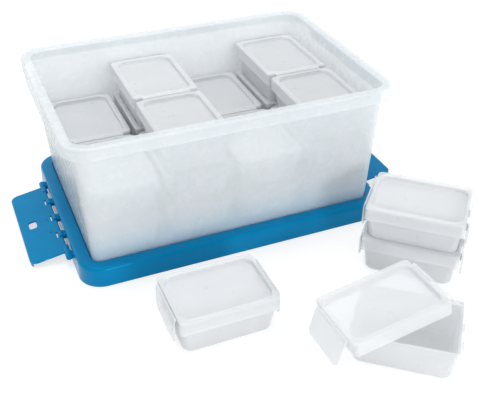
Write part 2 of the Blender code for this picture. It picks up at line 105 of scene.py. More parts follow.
# %% [markdown]
# ## Patterns
#
# Moulded plastic is never one flat colour. It has faint clouds where it flowed, and a fine tooth
# from the blasted mould. Images could carry both, but they need files and a UV map. Noise that
# is measured in metres needs neither, and has the same size on every piece.

# %% Pattern helpers


def new_material(name):
    """An empty material, its tree, and its Principled shader."""
    material = bpy.data.materials.new(name)
    material.use_nodes = True
    return material, material.node_tree, material.node_tree.nodes["Principled BSDF"]


def cloud(tree, size, low, high, detail=3.0):
    """Soft noise whose blobs are about one size across, mapped between two values."""
    place = add_node(tree, "ShaderNodeTexCoord")
    noise = add_node(
        tree,
        "ShaderNodeTexNoise",
        Vector=place.outputs["Object"],
        Scale=1 / size,
        Detail=detail,
    )
    # Most of this noise lies between 0.3 and 0.7.
    spread = add_node(tree, "ShaderNodeMapRange", Value=noise.outputs["Fac"])
    spread.inputs["From Min"].default_value = 0.3
    spread.inputs["From Max"].default_value = 0.7
    spread.inputs["To Min"].default_value = low
    spread.inputs["To Max"].default_value = high
    return spread.outputs["Result"]


def tint(tree, amount, first, second):
    """A colour that goes from the first to the second as the amount goes from 0 to 1."""
    mix = add_node(tree, "ShaderNodeMix", {"data_type": "RGBA"})
    tree.links.new(amount, mix.inputs["Factor"])
    mix.inputs[6].default_value = linear(first)
    mix.inputs[7].default_value = linear(second)
    return mix.outputs[2]


def grain(tree, size, depth):
    """The fine tooth that a blasted mould leaves, as a bump.

    The real tooth is about 0.05 mm across and would not show, so it is drawn coarser.
    """
    height = cloud(tree, size, 0.0, 1.0, detail=2.0)
    bump = add_node(tree, "ShaderNodeBump", Height=height, Strength=0.3, Distance=depth)
    return bump.outputs["Normal"]


print("pattern helpers:", ", ".join(helper.__name__ for helper in (cloud, tint, grain)))

# %% [markdown]
# ## Natural polypropylene
#
# The tub and the small containers are polypropylene with no pigment. It is clear like thin ice:
# shapes behind it show, and every skin of the plastic adds a little milky white of its own.
#
# Blender can scatter light inside a plastic or bend light through it, but with so many thin walls
# behind each other both come out too dark. So the shader's alpha is the share of each skin that
# is white, and the rest lets the eye straight through. A wall has two skins, and a stack of walls
# slowly turns white, as it really does.

# %% Natural polypropylene


def natural_plastic(name, milkiness, roughness, pale, deep):
    """Cloudy plastic. Milkiness is the white share of each skin, as the shader's alpha."""
    material, tree, shader = new_material(name)
    clouds = cloud(tree, size=22 * MM, low=0.0, high=1.0)
    tree.links.new(tint(tree, clouds, pale, deep), shader.inputs["Base Color"])
    gloss = cloud(tree, size=9 * MM, low=roughness - 0.05, high=roughness + 0.05)
    tree.links.new(gloss, shader.inputs["Roughness"])
    tooth = grain(tree, size=2 * MM, depth=0.01 * MM)
    tree.links.new(tooth, shader.inputs["Normal"])
    shader.inputs["Alpha"].default_value = milkiness
    return material


MILKINESS = 0.55
CUP_ROUGHNESS = 0.32
TUB_ROUGHNESS = 0.26
cup_plastic = natural_plastic(
    "moulded_natural_polypropylene_cup", MILKINESS, CUP_ROUGHNESS, pale="f8fafc", deep="f4f7f9"
)
tub_plastic = natural_plastic(
    "moulded_natural_polypropylene_tub", MILKINESS, TUB_ROUGHNESS, pale="f3f7fa", deep="eff5f8"
)
print("made", cup_plastic.name, "and", tub_plastic.name)

# %% [markdown]
# ## Painted blue light at the foot of the tub
#
# Milky plastic also carries light along inside its wall. The foot of the tub stands in the blue
# lid and so looks faintly blue from the lid's light. Skins can't carry light, so that blue light
# is painted into the colour here. A second material on the lowest faces would end in a hard line.
# This painted light is strongest at the tub's floor and fades out 65 mm above the ground.

# %% Painted blue light at the foot of the tub


def paint_lid_light_on_foot(material, low, high, colour):
    """Blends a colour into the foot of a material, fading out between two heights."""
    tree = material.node_tree
    base = tree.nodes["Principled BSDF"].inputs["Base Color"]
    plain = base.links[0].from_socket
    place = add_node(tree, "ShaderNodeTexCoord")
    height = add_node(tree, "ShaderNodeSeparateXYZ", Vector=place.outputs["Object"])
    fade = add_node(
        tree, "ShaderNodeMapRange", {"interpolation_type": "SMOOTHSTEP"}, Value=height.outputs["Z"]
    )
    fade.inputs["From Min"].default_value = low
    fade.inputs["From Max"].default_value = high
    mix = add_node(tree, "ShaderNodeMix", {"data_type": "RGBA"})
    tree.links.new(fade.outputs["Result"], mix.inputs["Factor"])
    # The colour blended in here is painted light, not a pigment of the plastic.
    mix.inputs[6].default_value = linear(colour)
    tree.links.new(plain, mix.inputs[7])
    tree.links.new(mix.outputs[2], base)


# The pale blue is painted light from the blue lid, fading out up the tub's wall.
paint_lid_light_on_foot(tub_plastic, low=10 * MM, high=65 * MM, colour="d4ecfa")
print("tub plastic has", len(tub_plastic.node_tree.nodes), "nodes")

# %% [markdown]
# ## Blue polypropylene
#
# The lid and its latches are the same plastic with a pigment that fills it, so no light gets
# through. The surface is satin: soft highlights, a fine tooth, and faint cloudiness where the
# plastic flowed into the mould. A clear coat could give the shine, but in a white studio it
# would wash out so deep a blue. So there is none, and what little the plastic mirrors is tinted
# and held back.

# %% Blue polypropylene


def blue_plastic():
    """Satin plastic whose pigment fills it."""
    material, tree, shader = new_material("moulded_blue_polypropylene")
    clouds = cloud(tree, size=30 * MM, low=0.0, high=1.0)
    tree.links.new(tint(tree, clouds, "0083b8", "007db1"), shader.inputs["Base Color"])
    gloss = cloud(tree, size=6 * MM, low=0.16, high=0.24)
    tree.links.new(gloss, shader.inputs["Roughness"])
    tooth = grain(tree, size=0.8 * MM, depth=0.006 * MM)
    tree.links.new(tooth, shader.inputs["Normal"])
    shader.inputs["Specular IOR Level"].default_value = 0.35
    shader.inputs["Specular Tint"].default_value = linear("66c8ff")
    return material


lid_plastic = blue_plastic()
print("made", lid_plastic.name)

# %% [markdown]
# ## Sections of a mould
#
# Every large piece here is a rounded rectangle that changes size with height. Its section is a
# line of points in millimetres, and each point says how much of its corner is rounded off. A
# bevel on a finished box could round the edges too, but each edge here has its own radius.

# %% Rounded sections
MOST_OF_A_SIDE = 0.49  # two roundings on one side never meet


def soften(points, steps=4):
    """Rounds the corners of a line of points in millimetres, and returns it in metres.

    The last value of each point is the length that its rounding takes off both sides.
    """
    line = []
    last = len(points) - 1
    for index, point in enumerate(points):
        here = Vector(point[:-1])
        cut = point[-1]
        if index in (0, last) or cut == 0:
            line.append(here * MM)
            continue
        before = Vector(points[index - 1][:-1]) - here
        after = Vector(points[index + 1][:-1]) - here
        start = here + before * min(cut / before.xy.length, MOST_OF_A_SIDE)
        end = here + after * min(cut / after.xy.length, MOST_OF_A_SIDE)
        for step in range(steps + 1):
            share = step / steps
            first = start.lerp(here, share)
            second = here.lerp(end, share)
            line.append(first.lerp(second, share) * MM)
    return line


print("a right angle softened:", len(soften([(0, 0, 0), (9, 0, 2), (9, 9, 0)])), "points")

# %% [markdown]
# ## Loft
#
# A loft joins the rounded rectangles into one closed skin of even, clean quads: up the outside
# of a wall, over its rim and down the inside. A Solidify modifier on a single skin could make
# the wall as well, but would leave no say over how the inside turns at the foot and the rim.

# %% Loft


def rounded_outline(length, width, corner, steps):
    """Points of a rounded rectangle round the origin, anticlockwise from above."""
    points = []
    for quarter, (side_x, side_y) in enumerate(((1, 1), (-1, 1), (-1, -1), (1, -1))):
        for step in range(steps + 1):
            angle = math.radians(90) * (quarter + step / steps)
            x = side_x * (length / 2 - corner) + corner * math.cos(angle)
            y = side_y * (width / 2 - corner) + corner * math.sin(angle)
            points.append((x, y))
    return points


def loft(name, length, width, section, steps=8):
    """A closed body through rounded rectangles.

    Each point of the section says how far the outline has grown at both ends, its height, how
    far it has grown at both sides, and its corner radius.
    """
    shape = bmesh.new()
    loops = []
    for at_ends, height, at_sides, corner in section:
        outline = rounded_outline(length + 2 * at_ends, width + 2 * at_sides, corner, steps)
        loops.append([shape.verts.new((x, y, height)) for x, y in outline])
    for lower, upper in zip(loops, loops[1:]):
        for index in range(len(lower)):
            after = (index + 1) % len(lower)
            shape.faces.new((lower[index], lower[after], upper[after], upper[index]))
    shape.faces.new(loops[0])
    shape.faces.new(loops[-1])
    bmesh.ops.recalc_face_normals(shape, faces=shape.faces[:])
    mesh = bpy.data.meshes.new(name)
    shape.to_mesh(mesh)
    shape.free()
    return mesh


trial = rounded_outline(40 * MM, 40 * MM, 10 * MM, 8)
print("points round a rounded square:", len(trial))

# %% [markdown]
# ## Boxes and turned copies
#
# Small details are boxes, joined on or cut away. Both ends of the box and of each container
# are alike, so a detail is made for the right end and turned by half a turn for the left one.
# Mirroring would work too, but it turns faces inside out, which then need turning back.

# %% Boxes and turned copies


def box_mesh(low, high):
    """A box between two corners, for joining on or cutting with."""
    shape = bmesh.new()
    bmesh.ops.create_cube(shape, size=1.0)
    size = Vector(high) - Vector(low)
    middle = (Vector(high) + Vector(low)) / 2
    bmesh.ops.scale(shape, vec=size, verts=shape.verts[:])
    bmesh.ops.translate(shape, vec=middle, verts=shape.verts[:])
    mesh = bpy.data.meshes.new("box")
    shape.to_mesh(mesh)
    shape.free()
    return mesh


def turned(mesh, matrix):
    """A copy of a mesh, moved by a matrix that does not mirror."""
    copy = mesh.copy()
    copy.transform(matrix)
    return copy


HALF_TURN = Matrix.Rotation(math.radians(180), 4, "Z")
print("faces of a box:", len(box_mesh((0, 0, 0), (MM, MM, MM)).polygons))

# %% [markdown]
# ## Joining and cutting
#
# A Boolean makes one skin out of two overlapping ones. Meshes could simply overlap, but in
# see-through plastic a wall left inside would show. The weighted normals afterwards keep wide
# faces flat beside their soft edges.

# %% Boolean and shading helpers


def evaluated_mesh(obj, name):
    """The mesh that an object's modifiers make. The object is removed."""
    graph = bpy.context.evaluated_depsgraph_get()
    mesh = bpy.data.meshes.new_from_object(obj.evaluated_get(graph))
    mesh.name = name
    bpy.data.objects.remove(obj)
    return mesh


def temporary(name, mesh):
    """An object that is in the scene only while its modifiers work."""
    obj = bpy.data.objects.new(name, mesh)
    bpy.context.scene.collection.objects.link(obj)
    return obj


def combine(name, body, added=(), cut=()):
    """A body with some meshes joined on and others cut away."""
    target = temporary(name, body)
    helpers = []
    for operation, meshes in (("UNION", added), ("DIFFERENCE", cut)):
        for mesh in meshes:
            helpers.append(temporary(name + "_tool", mesh))
            boolean = target.modifiers.new(operation, "BOOLEAN")
            boolean.operation = operation
            boolean.object = helpers[-1]
    mesh = evaluated_mesh(target, name)
    for helper in helpers:
        bpy.data.objects.remove(helper)
    return mesh


def shade(mesh, angle=38):
    """Smooth shading with flat faces kept flat and sharp corners kept sharp."""
    mesh.shade_smooth()
    mesh.set_sharp_from_angle(angle=math.radians(angle))
    obj = temporary(mesh.name, mesh)
    normals = obj.modifiers.new("weighted", "WEIGHTED_NORMAL")
    normals.keep_sharp = True
    return evaluated_mesh(obj, mesh.name)


def bevelled(mesh, width, segments=3, angle=35):
    """The mesh with its sharp edges rounded."""
    obj = temporary(mesh.name, mesh)
    bevel = obj.modifiers.new("edge", "BEVEL")
    bevel.width = width
    bevel.segments = segments
    bevel.limit_method = "ANGLE"
    bevel.angle_limit = math.radians(angle)
    return evaluated_mesh(obj, mesh.name)


cube = box_mesh((0, 0, 0), (MM, MM, MM))
notch = box_mesh((-MM, -MM, -MM), (MM / 2, MM / 2, MM / 2))
notched = combine("notched", cube, (), [notch])
print("faces of a cube with one corner cut out:", len(notched.polygons))

# %% [markdown]
# ## A tree for rows
#
# Lugs, hinge knuckles and dimples all stand in even rows. An Array modifier could repeat them,
# but it starts at one end, and these rows are centred. So one Geometry Nodes tree makes any
# such row: a line of points, an instance of the piece on each, and the instances made real.
# The tree has named inputs, so the same tree serves every row in this file.

# %% Row tree


def row_tree():
    """A tree that repeats a piece along Y, and the names of its inputs' sockets."""
    tree = bpy.data.node_groups.new("even_row", "GeometryNodeTree")
    sockets = {}
    for name, kind in (
        ("Piece", "NodeSocketObject"),
        ("Count", "NodeSocketInt"),
        ("Spacing", "NodeSocketFloat"),
        ("Finish", "NodeSocketMaterial"),
    ):
        socket = tree.interface.new_socket(name, in_out="INPUT", socket_type=kind)
        sockets[name] = socket.identifier
    tree.interface.new_socket("Row", in_out="OUTPUT", socket_type="NodeSocketGeometry")
    given = add_node(tree, "NodeGroupInput").outputs
    steps = add_node(tree, "ShaderNodeMath", {"operation": "SUBTRACT"})
    tree.links.new(given["Count"], steps.inputs[0])
    steps.inputs[1].default_value = 1.0
    half = add_node(tree, "ShaderNodeMath", {"operation": "MULTIPLY"})
    tree.links.new(steps.outputs[0], half.inputs[0])
    tree.links.new(given["Spacing"], half.inputs[1])
    start = add_node(tree, "ShaderNodeMath", {"operation": "MULTIPLY"})
    tree.links.new(half.outputs[0], start.inputs[0])
    start.inputs[1].default_value = -0.5
    first = add_node(tree, "ShaderNodeCombineXYZ", Y=start.outputs[0])
    stride = add_node(tree, "ShaderNodeCombineXYZ", Y=given["Spacing"])
    line = add_node(tree, "GeometryNodeMeshLine", Count=given["Count"])
    tree.links.new(first.outputs[0], line.inputs["Start Location"])
    tree.links.new(stride.outputs[0], line.inputs["Offset"])
    piece = add_node(tree, "GeometryNodeObjectInfo", Object=given["Piece"])
    copies = add_node(
        tree,
        "GeometryNodeInstanceOnPoints",
        Points=line.outputs["Mesh"],
        Instance=piece.outputs["Geometry"],
    )
    real = add_node(tree, "GeometryNodeRealizeInstances", Geometry=copies.outputs["Instances"])
    painted = add_node(
        tree, "GeometryNodeSetMaterial", Geometry=real.outputs[0], Material=given["Finish"]
    )
    add_node(tree, "NodeGroupOutput", Row=painted.outputs[0])
    return tree, sockets


ROW_TREE, ROW_SOCKETS = row_tree()


def row_of(mesh, count, spacing, finish):
    """A mesh with the piece repeated along Y, centred on the piece's own place."""
    piece = temporary("piece", mesh)
    carrier = temporary("row", bpy.data.meshes.new("row"))
    nodes = carrier.modifiers.new("row", "NODES")
    nodes.node_group = ROW_TREE
    nodes[ROW_SOCKETS["Piece"]] = piece
    nodes[ROW_SOCKETS["Count"]] = count
    nodes[ROW_SOCKETS["Spacing"]] = spacing
    nodes[ROW_SOCKETS["Finish"]] = finish
    row = evaluated_mesh(carrier, "row")
    bpy.data.objects.remove(piece)
    return row


print("row tree with", len(ROW_TREE.nodes), "nodes")

# %% [markdown]
# ## The tray
#
# A small tray holds the milk. Its walls lean out so that it leaves the mould, more so along the
# sides than at the ends. Its floor meets them in a round foot, and a wider band runs round its
# mouth. Two lugs on each short end catch the cap's flaps. A cube could be pushed and pulled
# into this shape by hand, but ten points of a section say it exactly and are easy to change.

# %% Tray
TRAY_LENGTH = 83.0 * MM
TRAY_WIDTH = 56.4 * MM
LUG_SPACING = 23.0 * MM
LUG_CORNERS = ((42.0 * MM, -4.5 * MM, 22.8 * MM), (47.4 * MM, 4.5 * MM, 25.8 * MM))


def tray_mesh():
    """A tray round the origin, standing on the height of 0, with its length along X."""
    section = soften(
        [
            (-6.0, 0.0, -6.0, 2.8, 0),
            (-0.1, 0.0, -0.1, 8.7, 2.6),
            (1.8, 32.0, 3.7, 2.5, 0.7),
            (3.0, 33.2, 4.9, 2.5, 0.5),
            (3.0, 35.4, 4.9, 2.5, 0.5),
            (1.9, 35.4, 3.8, 1.4, 0.5),
            (1.9, 33.2, 3.8, 1.4, 0.5),
            (0.7, 32.0, 2.6, 1.4, 0.7),
            (-1.3, 1.1, -1.3, 7.5, 2.2),
            (-6.0, 1.1, -6.0, 2.8, 0),
        ]
    )
    shell = loft("tray", TRAY_LENGTH, TRAY_WIDTH, section)
    lug = bevelled(box_mesh(*LUG_CORNERS), 0.6 * MM, 2)
    lugs = row_of(lug, 2, LUG_SPACING, cup_plastic)
    return shade(combine("tray", shell, (lugs, turned(lugs, HALF_TURN))))


tray_shape = tray_mesh()
print("tray faces:", len(tray_shape.polygons))

# %% [markdown]
# ## Plates and round bars
#
# A flap, a latch and a hinge knuckle each look the same along their whole width. Such a shape
# is drawn once from the side and pushed along Y, which is less work than a box that has to be
# bent. A round bar along Y is a pin where it is joined on, and a bore where it is cut away.

# %% Plates and round bars


def extrude_along_y(name, outline, low, high):
    """A flat outline in X and Z, pushed along Y."""
    shape = bmesh.new()
    face = shape.faces.new([shape.verts.new((x, low, z)) for x, z in outline])
    raised = bmesh.ops.extrude_face_region(shape, geom=[face])
    tops = [item for item in raised["geom"] if isinstance(item, bmesh.types.BMVert)]
    bmesh.ops.translate(shape, vec=(0, high - low, 0), verts=tops)
    bmesh.ops.recalc_face_normals(shape, faces=shape.faces[:])
    mesh = bpy.data.meshes.new(name)
    shape.to_mesh(mesh)
    shape.free()
    return mesh


def rod_mesh(radius, low, high, x=0.0, z=0.0, sides=32):
    """A round bar along Y."""
    shape = bmesh.new()
    bmesh.ops.create_cone(
        shape, cap_ends=True, segments=sides, radius1=radius, radius2=radius, depth=high - low
    )
    turn = Matrix.Rotation(math.radians(90), 4, "X")
    place = Matrix.Translation((x, (low + high) / 2, z))
    bmesh.ops.transform(shape, matrix=place @ turn, verts=shape.verts[:])
    mesh = bpy.data.meshes.new("rod")
    shape.to_mesh(mesh)
    shape.free()
    return mesh


print("faces of a round bar:", len(rod_mesh(MM, 0, MM).polygons))

# %% [markdown]
# ## The cap and its flaps
#
# The cap's top is sunk by nearly 5 mm, with soft edges, and the next tray stands in there. A
# flap hangs on each short end. On the real cap the flap is moulded on, with a strip so thin
# that it bends. The caps outside the tub have flaps of their own here, because those can swing.
# A stiff plate on a hinge line is enough for that, and a bending strip would not show.

# %% Cap and flaps
CAP_TOP = 39.4 * MM
HINGE_X = 47.04 * MM
HINGE_Z = 38.0 * MM
FLAP_HALF = 25.3 * MM
FLAP_FOOT = 12.0 * MM
FLAP_ROUND = 6.0 * MM


def cap_shell():
    """A cap without flaps, on a tray that stands on the height of 0."""
    section = soften(
        [
            (-6.0, 34.7, -6.0, 2.8, 0),
            (0.4, 34.7, 0.4, 9.2, 1.8),
            (0.7, 39.4, 0.7, 9.5, 1.1),
            (4.4, 39.4, 6.3, 3.9, 1.6),
            (4.4, 26.1, 6.3, 3.9, 0.4),
            (3.3, 26.1, 5.2, 2.8, 0.3),
            (3.3, 35.7, 5.2, 2.8, 0.4),
            (1.5, 35.7, 1.5, 10.3, 0.3),
            (1.5, 33.6, 1.5, 10.3, 0.5),
            (-6.0, 33.6, -6.0, 2.8, 0),
        ]
    )
    return loft("cap", TRAY_LENGTH, TRAY_WIDTH, section)


def flap_corner(side):
    """What a cut takes off a flap's lower corner to leave it round."""
    round_bar = rod_mesh(FLAP_ROUND, -9 * MM, 9 * MM)
    round_bar.transform(Matrix.Rotation(math.radians(90), 4, "Z"))
    centre = Vector((48.3 * MM, side * (FLAP_HALF - FLAP_ROUND), FLAP_FOOT + FLAP_ROUND))
    round_bar.transform(Matrix.Translation(centre))
    near, far = sorted((centre.y, side * (FLAP_HALF + MM)))
    low = (centre.x - 2 * MM, near, FLAP_FOOT - MM)
    high = (centre.x + 2 * MM, far, centre.z)
    return combine("corner", box_mesh(low, high), (), (round_bar,))


def flap_mesh(root):
    """A flap on the right end: a short shoulder from the root, then a plate that hangs down."""
    outline = soften(
        [
            (root, 37.4, 0),
            (root, 38.6, 0),
            (48.1, 38.6, 1.8),
            (48.9, 34.1, 1.2),
            (48.9, 12.0, 0.4),
            (47.7, 12.0, 0.4),
            (47.7, 34.1, 1.0),
            (46.9, 37.4, 0.4),
            (root, 37.4, 0),
        ],
        3,
    )[:-1]
    plate = extrude_along_y("flap", outline, -FLAP_HALF, FLAP_HALF)
    return combine("flap", plate, (), [flap_corner(side) for side in (-1, 1)])


ROOT_IN_CAP = 45.3
ROOT_CLEAR_OF_CAP = 46.44
joined_flap = flap_mesh(ROOT_IN_CAP)
plain_cap = shade(cap_shell())
flapped_cap = shade(combine("cap", cap_shell(), (joined_flap, turned(joined_flap, HALF_TURN))))
loose_flap = flap_mesh(ROOT_CLEAR_OF_CAP)
loose_flap.transform(Matrix.Translation((-HINGE_X, 0, -HINGE_Z)))
loose_flap = shade(loose_flap)
print("cap faces:", len(plain_cap.polygons), "flap faces:", len(loose_flap.polygons))

# %% [markdown]
# ## The tub
#
# The tub is one deep moulding. Its wall turns out into a flat rim and down again into a short
# skirt, which stiffens it. At both short ends the skirt is deeper, and the lid's latches hook
# under it there. The loft makes all of it but the deeper part, which is a plate joined on at
# each end.

# %% Tub
tub_low, tub_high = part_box("tub")
TUB_MIDDLE = (tub_low + tub_high) / 2
TUB_SEAT = tub_low.z
TUB_LENGTH = 295.6 * MM
TUB_WIDTH = 200.4 * MM
TUB_HEIGHT = tub_high.z - tub_low.z
LIP_NEAR, LIP_FAR = 161.2 * MM, 163.6 * MM


def even(corner, points):
    """Points for a loft that grows by the same amount on all four sides."""
    return [(grow, up, grow, corner + grow, cut) for grow, up, cut in points]


def tub_mesh():
    """The tub round the origin, with its foot on the height of 0."""
    top = TUB_HEIGHT / MM
    points = [
        (-6.5, 0.0, 0),
        (-0.2, 0.0, 2.4),
        (7.4, top - 2.0, 1.4),
        (13.4, top - 2.0, 1.0),
        (13.4, top - 12.5, 0.5),
        (15.4, top - 12.5, 0.6),
        (15.4, top, 2.2),
        (5.2, top, 2.0),
        (-2.3, 2.2, 2.6),
        (-6.5, 2.2, 0),
    ]
    section = soften(even(9.0, points), 5)
    shell = loft("tub", TUB_LENGTH, TUB_WIDTH, section, 12)
    outline = soften(
        [
            (-75, top - 3, 0),
            (-75, top - 11, 0),
            (-74, top - 20, 7),
            (74, top - 20, 7),
            (75, top - 11, 0),
            (75, top - 3, 0),
        ],
        5,
    )
    lip = extrude_along_y("lip", outline, LIP_NEAR, LIP_FAR)
    lip.transform(Matrix.Rotation(math.radians(-90), 4, "Z"))
    lip = bevelled(lip, 0.5 * MM, 2)
    return shade(combine("tub", shell, (lip, turned(lip, HALF_TURN))))


tub_shape = tub_mesh()
print("tub faces:", len(tub_shape.polygons), "height in mm:", round(TUB_HEIGHT / MM, 1))

# %% [markdown]
# ## The lid
#
# The lid lies the right way up and the tub stands in its sunken middle. Its edge is rounded
# and its side runs down to the floor. Three knuckles and two end brackets on each short side
# hold the pins of a latch. The three knuckles are a row, and the brackets are the same shape set
# further out. One cut makes the bore in all of them, and it stays closed at both its ends.

# %% Lid
PIN_X = 165.5 * MM
PIN_Z = 10.5 * MM
LATCH_HALF = 61.5 * MM
KNUCKLE_WIDTH = 9 * MM
KNUCKLE_SPACING = 31 * MM
BRACKET_GAP = 0.3 * MM
BORE_RADIUS = 1.8 * MM
BORE_HALF = 68.1 * MM
WEB_START = 160.6 * MM


def knuckle_mesh(width):
    """A ring on a short web that reaches into the lid's side, drawn as one outline."""
    web = 2.2 * MM
    ring = 3.2 * MM
    meet = math.pi - math.asin(web / ring)
    outline = [(WEB_START, PIN_Z + web)]
    for step in range(25):
        angle = meet * (1 - step / 12)
        outline.append((PIN_X + ring * math.cos(angle), PIN_Z + ring * math.sin(angle)))
    outline.append((WEB_START, PIN_Z - web))
    knuckle = extrude_along_y("knuckle", outline, -width / 2, width / 2)
    return bevelled(knuckle, 0.4 * MM, 2, 60)


def lid_mesh():
    """The lid round the origin, standing on the height of 0."""
    points = [
        (-7.0, 17.0, 0),
        (0.9, 17.0, 1.0),
        (0.9, 21.0, 0.9),
        (13.6, 21.0, 4.2),
        (14.2, 0.0, 0.5),
        (12.0, 0.0, 0.5),
        (11.4, 18.8, 2.4),
        (3.1, 18.8, 0.8),
        (3.1, 14.8, 1.4),
        (-7.0, 14.8, 0),
    ]
    section = soften(even(9.4, points), 5)
    body = loft("lid", TUB_LENGTH, TUB_WIDTH, section, 12)
    knuckle = knuckle_mesh(KNUCKLE_WIDTH)
    added = [row_of(knuckle, 3, KNUCKLE_SPACING, lid_plastic)]
    bracket_y = LATCH_HALF + BRACKET_GAP + KNUCKLE_WIDTH / 2
    for side in (-1, 1):
        added.append(turned(knuckle, Matrix.Translation((0, side * bracket_y, 0))))
    bore = rod_mesh(BORE_RADIUS, -BORE_HALF, BORE_HALF, PIN_X, PIN_Z)
    both_ends = added + [turned(mesh, HALF_TURN) for mesh in added]
    bores = (bore, turned(bore, HALF_TURN))
    return shade(combine("lid", body, both_ends, bores))


lid_shape = lid_mesh()
print("lid faces:", len(lid_shape.polygons))

# %% [markdown]
# ## The latches
#
# A latch is a plate on a thin pin, with a lip along its free edge that hooks under the tub's
# rim, and a square hole. It could be drawn as it lies in the photograph. Instead it is drawn
# lying flat, with its pin along Y through the origin, and turned about that pin afterwards.
# That way one shape serves both ends.

# %% Latch
LATCH_REACH = 36.8 * MM
LATCH_ROUND = 8.0 * MM
PIN_RADIUS = 1.5 * MM
PIN_HALF = 67.2 * MM
DIMPLE_SPACING = 24 * MM


def hole_cutter():
    """The square hole, with its corners rounded."""
    hole = box_mesh((19.2 * MM, -6.5 * MM, -6 * MM), (27.2 * MM, 6.5 * MM, 6 * MM))
    shape = bmesh.new()
    shape.from_mesh(hole)
    upright = [
        edge for edge in shape.edges if abs(edge.verts[0].co.z - edge.verts[1].co.z) > MM
    ]
    bmesh.ops.bevel(shape, geom=upright, offset=1.0 * MM, segments=3, affect="EDGES")
    shape.to_mesh(hole)
    shape.free()
    return hole


def corner_cutter(side):
    """What a cut takes off the plate's far corner to leave it round."""
    centre = Vector((LATCH_REACH - LATCH_ROUND, side * (LATCH_HALF - LATCH_ROUND), 0))
    low = (centre.x, min(centre.y, centre.y + side * 9 * MM), -8 * MM)
    high = (centre.x + 9 * MM, max(centre.y, centre.y + side * 9 * MM), 8 * MM)
    round_bar = rod_mesh(LATCH_ROUND, -20 * MM, 20 * MM, sides=48)
    round_bar.transform(Matrix.Rotation(math.radians(90), 4, "X"))
    round_bar.transform(Matrix.Translation(centre))
    return combine("corner", box_mesh(low, high), (), (round_bar,))


def latch_mesh():
    """A latch lying flat, with its pin on the Y axis."""
    section = soften(
        [
            (4.2, -0.4, 0),
            (34.2, -0.4, 0.5),
            (34.4, -4.0, 0.6),
            (36.8, -4.0, 0.7),
            (36.8, 1.8, 1.8),
            (4.2, 1.8, 0),
        ],
        5,
    )
    plate = extrude_along_y("plate", section, -LATCH_HALF, LATCH_HALF)
    cuts = [hole_cutter()] + [corner_cutter(side) for side in (-1, 1)]
    added = [rod_mesh(PIN_RADIUS, -PIN_HALF, PIN_HALF)]
    # The plate reaches back to the pin everywhere but at the lid's knuckles.
    for start, end in ((50.0, 61.5), (35.8, 50.0), (4.8, 26.2)):
        for low, high in ((start, end), (-end, -start)):
            added.append(box_mesh((0, low * MM, -0.4 * MM), (6.0 * MM, high * MM, 1.8 * MM)))
    for side in (-1, 1):
        ends = sorted((side * 51.5 * MM, side * LATCH_HALF))
        added.append(rod_mesh(2.9 * MM, ends[0], ends[1]))
    dimple = box_mesh((7.6 * MM, -1.6 * MM, 1.3 * MM), (9.0 * MM, 1.6 * MM, 3.0 * MM))
    cuts.append(row_of(dimple, 3, DIMPLE_SPACING, lid_plastic))
    return shade(combine("latch", plate, added, cuts))


latch_shape = latch_mesh()
print("latch faces:", len(latch_shape.polygons))

# %% [markdown]
# ## Setting the pieces in place
#
# Each fine piece takes the place of one CAD node and rides on that node's body. Its place could
# be in the object's own matrix. Here the object stays at the origin and the place is in the
# mesh, so the noise of a pattern differs from piece to piece and no two cups look alike.

# %% Placing helper
made = []


def stand_in(node, mesh, matrix, finish):
    """Shows a fine mesh instead of a CAD node."""
    fine = mesh.copy()
    fine.transform(matrix)
    fine.materials.clear()
    fine.materials.append(finish)
    piece = bpy.data.objects.new("fine_" + node, fine)
    bpy.context.scene.collection.objects.link(piece)
    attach(piece, node)
    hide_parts(node)
    made.append(piece)
    return piece


def at_node(node, turn):
    """The place of a tray, from the middle of its node's box and its turn about Z."""
    low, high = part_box(node)
    place = Vector(((low.x + high.x) / 2, (low.y + high.y) / 2, low.z))
    return Matrix.Translation(place) @ Matrix.Rotation(math.radians(turn), 4, "Z")


def blue(node, mesh, matrix):
    """The same, for a blue piece."""
    return stand_in(node, mesh, matrix, lid_plastic)


def cup(node, mesh, matrix):
    """The same, for a piece of a small container."""
    return stand_in(node, mesh, matrix, cup_plastic)


print("nodes to replace:", len(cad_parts))

# %% [markdown]
# ## Tub, lid and latches
#
# The two latches lie as in the photograph: the left one droops until its hook touches the
# floor, and the right one is a little raised. Each angle is written once, as a turn about the
# line of the pin, and the same shape serves both.

# %% Tub, lid and latches
tub_place = Matrix.Translation((TUB_MIDDLE.x, TUB_MIDDLE.y, TUB_SEAT))
stand_in("tub", tub_shape, tub_place, tub_plastic)
floor_place = Matrix.Translation((TUB_MIDDLE.x, TUB_MIDDLE.y, 0))
blue("box_lid", lid_shape, floor_place)
LATCH_DROOP = 9.79
LATCH_RISE = 7.3
hinge = Matrix.Translation((PIN_X, 0, PIN_Z))
droop = Matrix.Rotation(math.radians(LATCH_DROOP), 4, "Y")
rise = Matrix.Rotation(math.radians(-LATCH_RISE), 4, "Y")
blue("latch_left", latch_shape, floor_place @ HALF_TURN @ hinge @ droop)
blue("latch_right", latch_shape, floor_place @ hinge @ rise)
print("placed", len(made), "large pieces")

# %% [markdown]
# ## Containers in the tub
#
# Twenty closed containers stand in the tub in two rows of four stacks, turned across it. Their
# nodes tell where they are, so the loop only reads the names.

# %% Containers in the tub
inside = [name for name in sorted(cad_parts) if name.startswith(("tray_front", "tray_back"))]
for node in inside:
    place = at_node(node, 90)
    cup(node, tray_shape, place)
    cup(node.replace("tray", "cap"), flapped_cap, place)
print("placed", len(inside), "containers in the tub")

# %% [markdown]
# ## Containers in front of the tub
#
# One stands closed, two are stacked, and one is open with its cap laid askew over it. The
# flaps of these swing on the cap's short edges, so each is placed about its hinge line.

# %% Containers in front of the tub


def add_flaps(tail, cap_place, left=0.0, right=0.0):
    """Two flaps on a cap, each swung out by some degrees."""
    hang = Matrix.Translation((HINGE_X, 0, HINGE_Z))
    for side, splay, face in (("right", right, Matrix()), ("left", left, HALF_TURN)):
        swing = Matrix.Rotation(math.radians(-splay), 4, "Y")
        cup(f"flap_{side}_{tail}", loose_flap, cap_place @ face @ hang @ swing)


